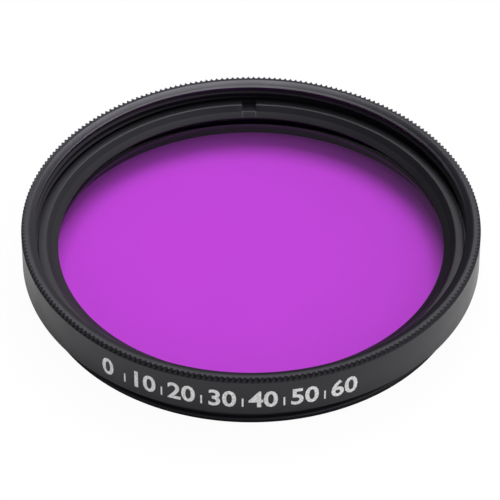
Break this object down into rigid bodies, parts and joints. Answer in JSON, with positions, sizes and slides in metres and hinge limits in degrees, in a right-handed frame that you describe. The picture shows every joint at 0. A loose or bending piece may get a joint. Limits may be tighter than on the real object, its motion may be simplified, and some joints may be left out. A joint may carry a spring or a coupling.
{
  "type": "color effect filter",
  "caption": "Round screw-in lens filter: purple glass disc held in a knurled black frame ring by a slotted retaining ring, with filter threads front and rear.",
  "frame": {"origin": "centre of the rear face, on the optical axis", "axes": "+Z along the optical axis towards the front, the side away from the lens; the two spanner slots lie along Y"},
  "size_m": [0.043, 0.043, 0.0066],
  "materials": {
    "frame_black": "satin",
    "ring_black": "satin",
    "purple_glass": "polished"
  },
  "bodies": {
    "root": {"frame_ring": "frame_black", "retaining_ring": "ring_black", "filter_glass": "purple_glass"}
  },
  "joints": []
}
